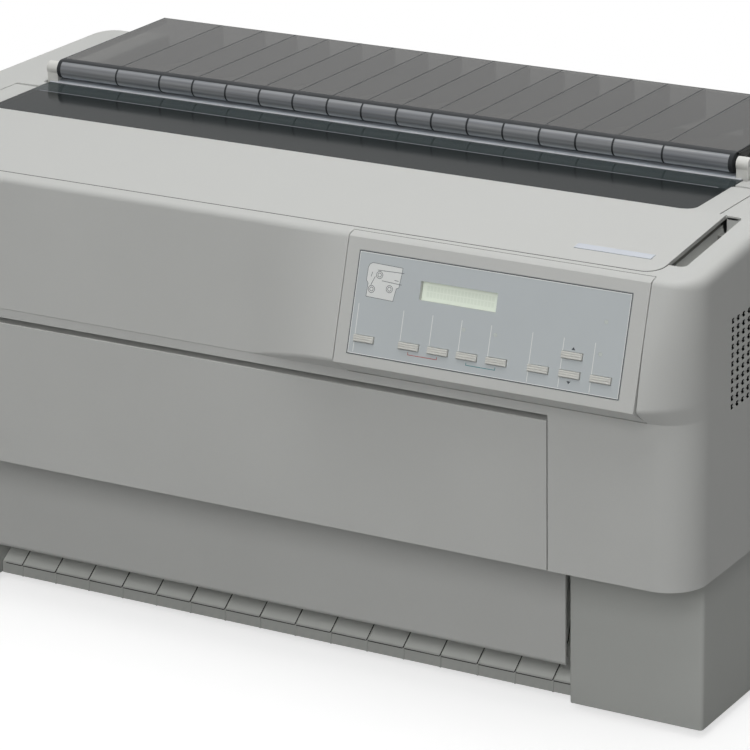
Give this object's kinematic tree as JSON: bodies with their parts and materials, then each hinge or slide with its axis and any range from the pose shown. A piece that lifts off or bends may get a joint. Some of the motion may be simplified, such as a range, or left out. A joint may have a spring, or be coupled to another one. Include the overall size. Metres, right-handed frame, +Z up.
{
  "type": "dot matrix printer",
  "caption": "Wide desktop impact printer with hinged covers, smoked paper separator, button panel, print carriage and tractor paper feed.",
  "frame": {"origin": "centre of the footprint, on the surface that the rubber feet stand on", "axes": "+X to the right seen from the front, +Y to the rear, +Z up"},
  "size_m": [0.7, 0.382, 0.3622],
  "materials": {
    "case_plastic": "fine grained, matt",
    "pale_plastic": "matt",
    "overlay": "satin printed film",
    "smoked": "clear smoked, polished",
    "lcd_glass": "polished",
    "lcd": "satin",
    "pcb": "solder mask",
    "lamp": "clear",
    "rubber": "matt",
    "steel": "zinc plated",
    "ground_steel": "ground and polished",
    "platen_rubber": "ground rubber",
    "black_plastic": "matt",
    "die_cast": "die cast",
    "belt": "matt",
    "brass": "satin",
    "ivory": "matt"
  },
  "bodies": {
    "frame": {"base_case": "case_plastic", "main_case": "case_plastic", "side_vent": "case_plastic", "rear_panel": "steel", "cover_catch": "case_plastic", "front_paper_guide": "case_plastic", "separator_pivots": "pale_plastic", "control_panel_housing": "case_plastic", "panel_overlay": "overlay", "lcd_lens": "lcd_glass", "lcd_module": "lcd", "control_board": "pcb", "indicator_lamps": "lamp", "feet": "rubber", "base_plate": "steel", "side_frame_left": "steel", "side_frame_right": "steel", "guide_shafts": "ground_steel", "ribbon_cartridge": "black_plastic", "carriage_belt": "belt", "carriage_motor": "die_cast", "paper_feed_motor": "die_cast", "main_board": "pcb", "power_supply": "steel", "fan_frame": "black_plastic", "ac_inlet": "black_plastic", "interface_connectors": "black_plastic", "hinge_pins": "steel"},
    "top_cover": {"top_cover": "case_plastic", "cover_window": "smoked", "badge_plate": "pale_plastic"},
    "front_cover": {"front_cover": "case_plastic"},
    "lower_flap": {"lower_flap": "case_plastic"},
    "paper_separator": {"paper_separator": "smoked"},
    "carriage": {"carriage": "die_cast", "print_head": "die_cast"},
    "drive_pulley": {"drive_pulley": "die_cast"},
    "idler_pulley": {"idler_pulley": "die_cast"},
    "platen": {"platen": "platen_rubber"},
    "motor_pinion": {"motor_pinion": "brass"},
    "upper_idler_gear": {"upper_idler_gear": "ivory"},
    "lower_idler_gear": {"lower_idler_gear": "ivory"},
    "rear_idler_gear": {"rear_idler_gear": "ivory"},
    "front_tractor_shaft": {"front_tractor_shaft": "ground_steel"},
    "rear_tractor_shaft": {"rear_tractor_shaft": "ground_steel"},
    "front_tractor_left": {"front_tractor_left": "black_plastic"},
    "front_tractor_right": {"front_tractor_right": "black_plastic"},
    "rear_tractor_left": {"rear_tractor_left": "black_plastic"},
    "rear_tractor_right": {"rear_tractor_right": "black_plastic"},
    "fan_rotor": {"fan_rotor": "black_plastic"},
    "power_switch": {"power_switch": "black_plastic"},
    "button_tractor_select": {"button_tractor_select": "pale_plastic"},
    "button_font": {"button_font": "pale_plastic"},
    "button_pitch": {"button_pitch": "pale_plastic"},
    "button_tear_off": {"button_tear_off": "pale_plastic"},
    "button_top_of_form": {"button_top_of_form": "pale_plastic"},
    "button_load": {"button_load": "pale_plastic"},
    "button_micro_up": {"button_micro_up": "pale_plastic"},
    "button_micro_down": {"button_micro_down": "pale_plastic"},
    "button_pause": {"button_pause": "pale_plastic"}
  },
  "joints": [
    {"name": "top_cover_hinge", "type": "hinge", "parent": "frame", "child": "top_cover", "pos_m": [0, 0.0132, 0.3412], "axis": [-1, 0, 0], "range_deg": [0, 60]},
    {"name": "front_cover_hinge", "type": "hinge", "parent": "frame", "child": "front_cover", "pos_m": [0, -0.163, 0.123], "axis": [1, 0, 0], "range_deg": [0, 85]},
    {"name": "lower_flap_hinge", "type": "hinge", "parent": "frame", "child": "lower_flap", "pos_m": [0, -0.13, 0.131], "axis": [-1, 0, 0], "range_deg": [0, 40]},
    {"name": "paper_separator_hinge", "type": "hinge", "parent": "frame", "child": "paper_separator", "pos_m": [0, 0.037, 0.355], "axis": [1, 0, 0], "range_deg": [0, 95]},
    {"name": "carriage_slide", "type": "slide", "parent": "frame", "child": "carriage", "axis": [1, 0, 0], "range_m": [-0.175, 0.175]},
    {"name": "drive_pulley_spin", "type": "hinge", "parent": "frame", "child": "drive_pulley", "pos_m": [-0.228, -0.022, 0.262], "axis": [0, 1, 0], "range_deg": [-1100, 1100]},
    {"name": "idler_pulley_spin", "type": "hinge", "parent": "frame", "child": "idler_pulley", "pos_m": [0.228, -0.022, 0.262], "axis": [0, 1, 0], "range_deg": [-1100, 1100]},
    {"name": "platen_spin", "type": "hinge", "parent": "frame", "child": "platen", "pos_m": [0, 0.058, 0.312], "axis": [1, 0, 0], "continuous": true},
    {"name": "upper_idler_spin", "type": "hinge", "parent": "frame", "child": "upper_idler_gear", "pos_m": [0, 0.00837, 0.27568], "axis": [1, 0, 0], "continuous": true},
    {"name": "lower_idler_spin", "type": "hinge", "parent": "frame", "child": "lower_idler_gear", "pos_m": [0, -0.05215, 0.23138], "axis": [1, 0, 0], "continuous": true},
    {"name": "front_tractor_spin", "type": "hinge", "parent": "frame", "child": "front_tractor_shaft", "pos_m": [0, -0.09694, 0.1986], "axis": [1, 0, 0], "continuous": true},
    {"name": "rear_idler_spin", "type": "hinge", "parent": "frame", "child": "rear_idler_gear", "pos_m": [0, 0.09747, 0.29763], "axis": [1, 0, 0], "continuous": true},
    {"name": "rear_tractor_spin", "type": "hinge", "parent": "frame", "child": "rear_tractor_shaft", "pos_m": [0, 0.1313, 0.28532], "axis": [1, 0, 0], "continuous": true},
    {"name": "motor_pinion_spin", "type": "hinge", "parent": "frame", "child": "motor_pinion", "pos_m": [0, 0.02041, 0.23076], "axis": [1, 0, 0], "continuous": true},
    {"name": "fan_spin", "type": "hinge", "parent": "frame", "child": "fan_rotor", "pos_m": [0, -0.0514, 0.2623], "axis": [1, 0, 0], "continuous": true},
    {"name": "power_switch_rock", "type": "hinge", "parent": "frame", "child": "power_switch", "pos_m": [-0.118, 0.1772, 0.04], "axis": [0, 0, -1], "range_deg": [0, 14]},
    {"name": "front_tractor_left_slide", "type": "slide", "parent": "frame", "child": "front_tractor_left", "axis": [1, 0, 0], "range_m": [-0.03, 0.03]},
    {"name": "front_tractor_right_slide", "type": "slide", "parent": "frame", "child": "front_tractor_right", "axis": [1, 0, 0], "range_m": [-0.03, 0.03]},
    {"name": "rear_tractor_left_slide", "type": "slide", "parent": "frame", "child": "rear_tractor_left", "axis": [1, 0, 0], "range_m": [-0.03, 0.03]},
    {"name": "rear_tractor_right_slide", "type": "slide", "parent": "frame", "child": "rear_tractor_right", "axis": [1, 0, 0], "range_m": [-0.03, 0.03]},
    {"name": "button_tractor_select_press", "type": "slide", "parent": "frame", "child": "button_tractor_select", "axis": [0, 0.9554, -0.2954], "range_m": [0, 0.0012], "stiffness_N_per_m": 300},
    {"name": "button_font_press", "type": "slide", "parent": "frame", "child": "button_font", "axis": [0, 0.9554, -0.2954], "range_m": [0, 0.0012], "stiffness_N_per_m": 300},
    {"name": "button_pitch_press", "type": "slide", "parent": "frame", "child": "button_pitch", "axis": [0, 0.9554, -0.2954], "range_m": [0, 0.0012], "stiffness_N_per_m": 300},
    {"name": "button_tear_off_press", "type": "slide", "parent": "frame", "child": "button_tear_off", "axis": [0, 0.9554, -0.2954], "range_m": [0, 0.0012], "stiffness_N_per_m": 300},
    {"name": "button_top_of_form_press", "type": "slide", "parent": "frame", "child": "button_top_of_form", "axis": [0, 0.9554, -0.2954], "range_m": [0, 0.0012], "stiffness_N_per_m": 300},
    {"name": "button_load_press", "type": "slide", "parent": "frame", "child": "button_load", "axis": [0, 0.9554, -0.2954], "range_m": [0, 0.0012], "stiffness_N_per_m": 300},
    {"name": "button_micro_up_press", "type": "slide", "parent": "frame", "child": "button_micro_up", "axis": [0, 0.9554, -0.2954], "range_m": [0, 0.0012], "stiffness_N_per_m": 300},
    {"name": "button_micro_down_press", "type": "slide", "parent": "frame", "child": "button_micro_down", "axis": [0, 0.9554, -0.2954], "range_m": [0, 0.0012], "stiffness_N_per_m": 300},
    {"name": "button_pause_press", "type": "slide", "parent": "frame", "child": "button_pause", "axis": [0, 0.9554, -0.2954], "range_m": [0, 0.0012], "stiffness_N_per_m": 300}
  ],
  "couplings": [
    {"joint": "drive_pulley_spin", "follows": "carriage_slide", "rad_per_m": 93.023},
    {"joint": "idler_pulley_spin", "follows": "carriage_slide", "rad_per_m": 93.023},
    {"joint": "upper_idler_spin", "follows": "platen_spin", "ratio": -0.64},
    {"joint": "lower_idler_spin", "follows": "platen_spin", "ratio": 0.64},
    {"joint": "front_tractor_spin", "follows": "platen_spin", "ratio": -1.3333},
    {"joint": "rear_idler_spin", "follows": "platen_spin", "ratio": -1.3333},
    {"joint": "rear_tractor_spin", "follows": "platen_spin", "ratio": 1.3333},
    {"joint": "motor_pinion_spin", "follows": "platen_spin", "ratio": 2.6667}
  ]
}
